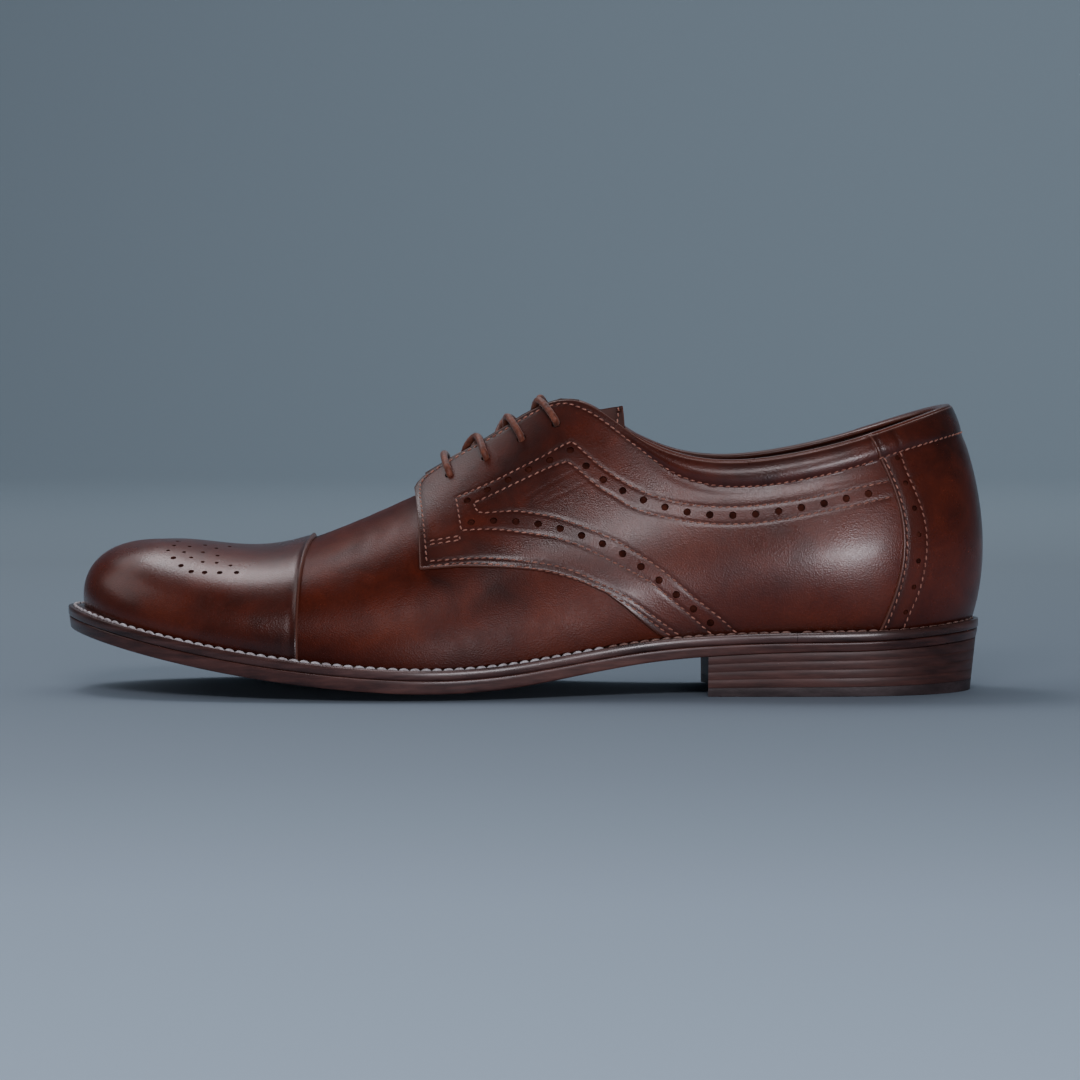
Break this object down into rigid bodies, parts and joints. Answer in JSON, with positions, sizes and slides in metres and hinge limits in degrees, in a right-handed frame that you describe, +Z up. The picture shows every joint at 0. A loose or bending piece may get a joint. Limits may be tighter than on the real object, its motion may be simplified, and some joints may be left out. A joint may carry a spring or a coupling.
{
  "type": "leather oxford shoe",
  "caption": "Laced leather dress shoe for a left foot, with a toe cap, brogue bands, a welted sole and a stacked heel; the tongue is hinged at the throat.",
  "frame": {"origin": "middle of the shoe's footprint on the ground, under the centre of its bounding box", "axes": "+X from toe to heel, -Y towards the outer (lateral) side, +Z up"},
  "size_m": [0.3055, 0.1043, 0.0982],
  "materials": {
    "upper_leather": "waxed aniline calf, burnished brown, semi-gloss",
    "lining_leather": "natural tan lining leather, matt",
    "stiffener_board": "pressed leather board, matt",
    "padding_foam": "foam, matt",
    "insole_leather": "natural shoulder leather, matt",
    "cork": "granulated cork, matt",
    "steel": "spring steel",
    "eyelet_brass": "antique brass",
    "welt_leather": "edge-inked and waxed, glossy",
    "sole_leather": "bark-tanned sole leather, edge waxed",
    "heel_leather": "stacked leather, edge waxed",
    "heel_rubber": "moulded rubber, matt",
    "lace_cotton": "waxed braided cotton",
    "aglet_plastic": "heat-shrunk film"
  },
  "bodies": {
    "shoe": {"toe_cap": "upper_leather", "vamp": "upper_leather", "quarter_lateral": "upper_leather", "quarter_medial": "upper_leather", "counter_cover": "upper_leather", "topline_binding": "upper_leather", "vamp_lining": "lining_leather", "quarter_lining_lateral": "lining_leather", "quarter_lining_medial": "lining_leather", "heel_grip": "lining_leather", "facing_stay_lateral": "lining_leather", "facing_stay_medial": "lining_leather", "sock_liner": "lining_leather", "toe_puff": "stiffener_board", "heel_stiffener": "stiffener_board", "collar_padding": "padding_foam", "insole_board": "insole_leather", "cork_filler": "cork", "shank": "steel", "heel_nails": "steel", "eyelets": "eyelet_brass", "welt": "welt_leather", "heel_rand": "welt_leather", "outsole": "sole_leather", "heel_lift_1": "heel_leather", "heel_lift_2": "heel_leather", "heel_lift_3": "heel_leather", "heel_lift_4": "heel_leather", "top_piece": "heel_rubber", "lace": "lace_cotton", "aglets": "aglet_plastic"},
    "tongue": {"tongue": "upper_leather", "tongue_lining": "lining_leather"}
  },
  "joints": [
    {"name": "tongue_hinge", "type": "hinge", "parent": "shoe", "child": "tongue", "pos_m": [-0.0165, 0, 0.071], "axis": [0, 1, 0], "range_deg": [0, 10], "stiffness_Nm_per_rad": 0.02, "springref_deg": -5.73}
  ]
}
